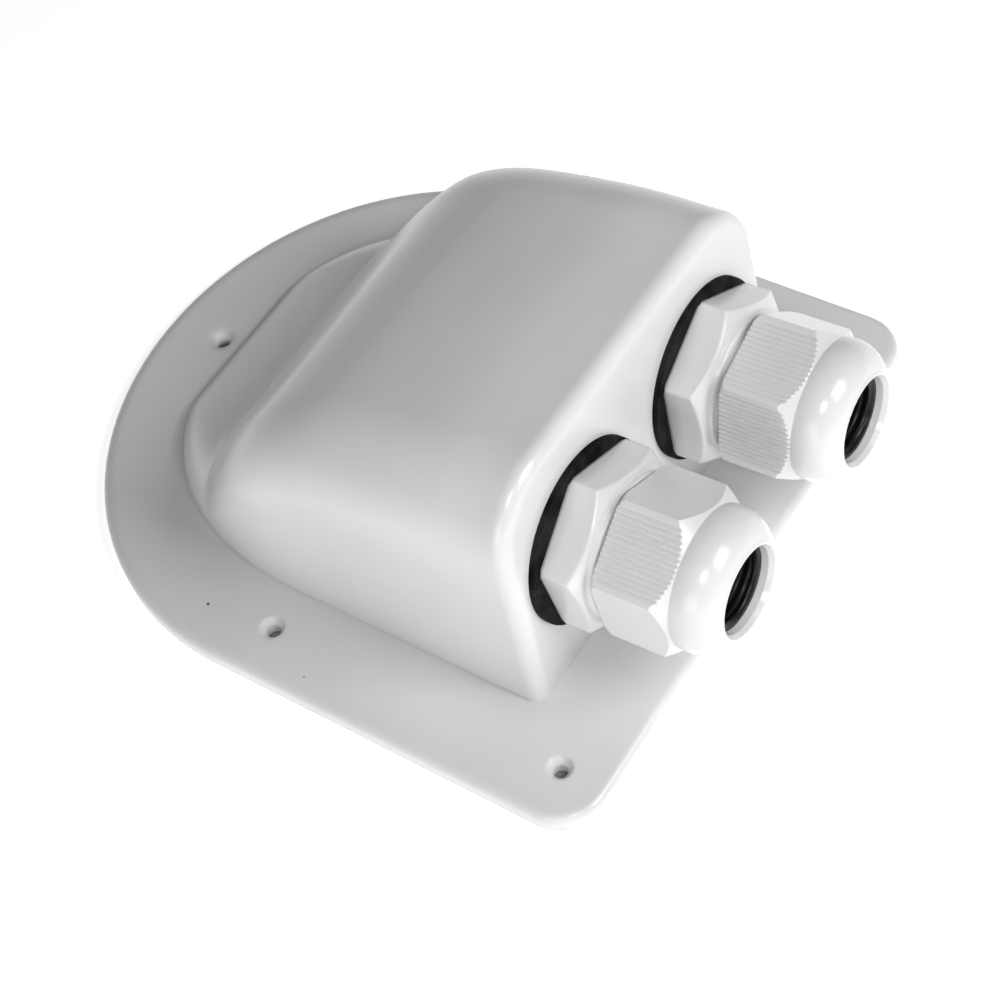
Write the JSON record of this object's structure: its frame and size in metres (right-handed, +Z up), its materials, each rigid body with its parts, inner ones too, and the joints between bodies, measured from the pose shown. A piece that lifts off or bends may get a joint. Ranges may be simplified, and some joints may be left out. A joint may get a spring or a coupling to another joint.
{
  "type": "roof cable entry box",
  "caption": "Moulded roof entry box: round-backed screw-down flange, hollow stepped hood and nylon cable glands with ribbed dome nuts on its upright face.",
  "frame": {"origin": "on the flange underside, midway between the four side screw holes", "axes": "+X towards the gland openings, +Z up away from the roof, +Y across the flange"},
  "size_m": [0.1253, 0.1038, 0.0448],
  "materials": {
    "shell": "satin moulded ABS, white",
    "gland_nylon": "smooth moulded nylon, white",
    "gasket_rubber": "black rubber",
    "seal_rubber": "black rubber"
  },
  "bodies": {
    "box": {"housing": "shell", "near_gasket": "gasket_rubber", "near_gland_body": "gland_nylon", "near_lock_nut": "gland_nylon", "far_gasket": "gasket_rubber", "far_gland_body": "gland_nylon", "far_lock_nut": "gland_nylon"},
    "near_sleeve": {"near_seal": "seal_rubber"},
    "near_nut": {"near_dome_nut": "gland_nylon"},
    "far_sleeve": {"far_seal": "seal_rubber"},
    "far_nut": {"far_dome_nut": "gland_nylon"}
  },
  "joints": [
    {"name": "near_nut_travel", "type": "slide", "parent": "box", "child": "near_sleeve", "axis": [0.9982, 0, 0.0593], "range_m": [0, 0.0045]},
    {"name": "near_nut_turn", "type": "hinge", "parent": "near_sleeve", "child": "near_nut", "pos_m": [0.0372, -0.0168, 0.02379], "axis": [0.9982, 0, 0.0593], "range_deg": [0, 1080]},
    {"name": "far_nut_travel", "type": "slide", "parent": "box", "child": "far_sleeve", "axis": [0.9982, 0, 0.0593], "range_m": [0, 0.0045]},
    {"name": "far_nut_turn", "type": "hinge", "parent": "far_sleeve", "child": "far_nut", "pos_m": [0.0372, 0.0168, 0.02379], "axis": [0.9982, 0, 0.0593], "range_deg": [0, 1080]}
  ],
  "couplings": [
    {"joint": "near_nut_travel", "follows": "near_nut_turn", "m_per_rad": 0.00023873},
    {"joint": "far_nut_travel", "follows": "far_nut_turn", "m_per_rad": 0.00023873}
  ]
}
